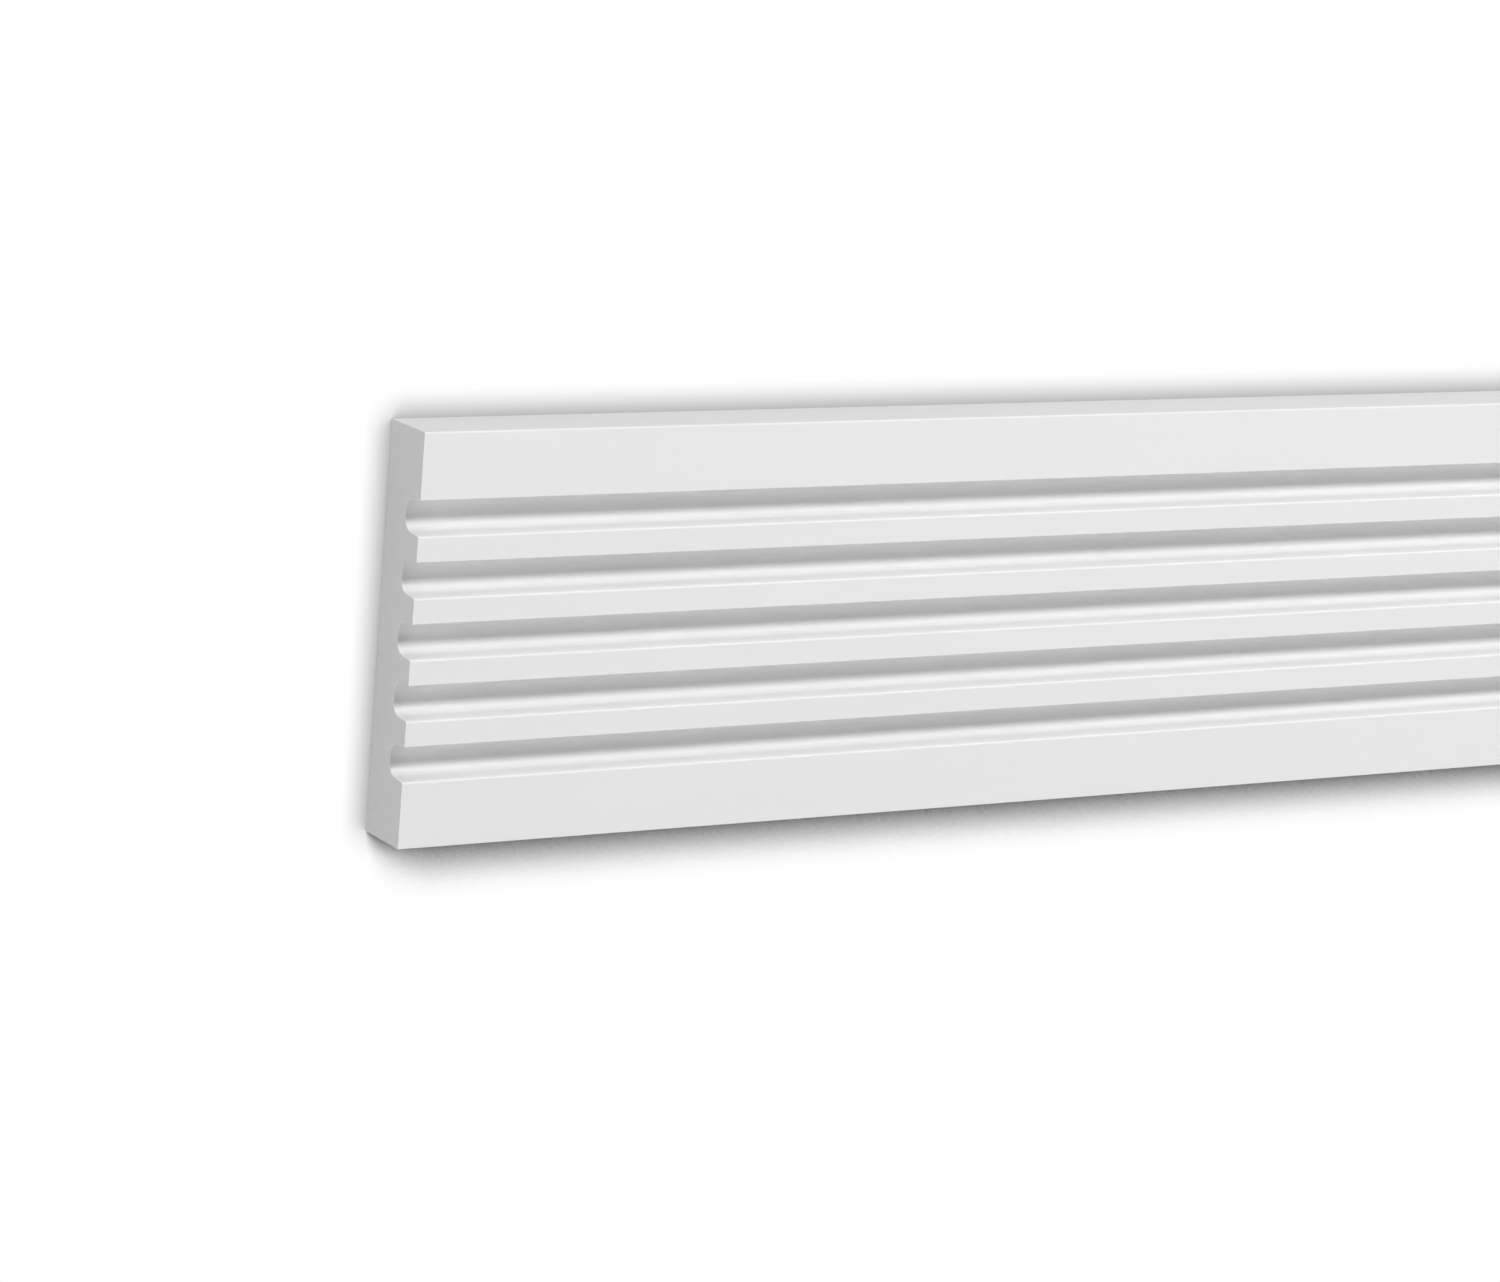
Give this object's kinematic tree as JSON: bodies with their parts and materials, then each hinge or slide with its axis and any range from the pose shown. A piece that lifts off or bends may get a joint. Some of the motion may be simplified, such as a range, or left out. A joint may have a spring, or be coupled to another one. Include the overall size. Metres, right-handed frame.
{
  "type": "panel moulding",
  "caption": "Flat fluted panel moulding: a straight length of rigid white foam trim with parallel round-rooted flutes along its front and a plain flat back for gluing to a wall.",
  "frame": {"origin": "centre of the flat back face, which lies on the floor", "axes": "+X along the length, towards the picture's right; +Y across the width, towards the picture's top; +Z out of the fluted front face"},
  "size_m": [2, 0.1, 0.017],
  "materials": {
    "primed_foam": "factory white primer, smooth and matt, over rigid polyurethane foam"
  },
  "bodies": {
    "root": {"panel_moulding": "primed_foam"}
  },
  "joints": []
}
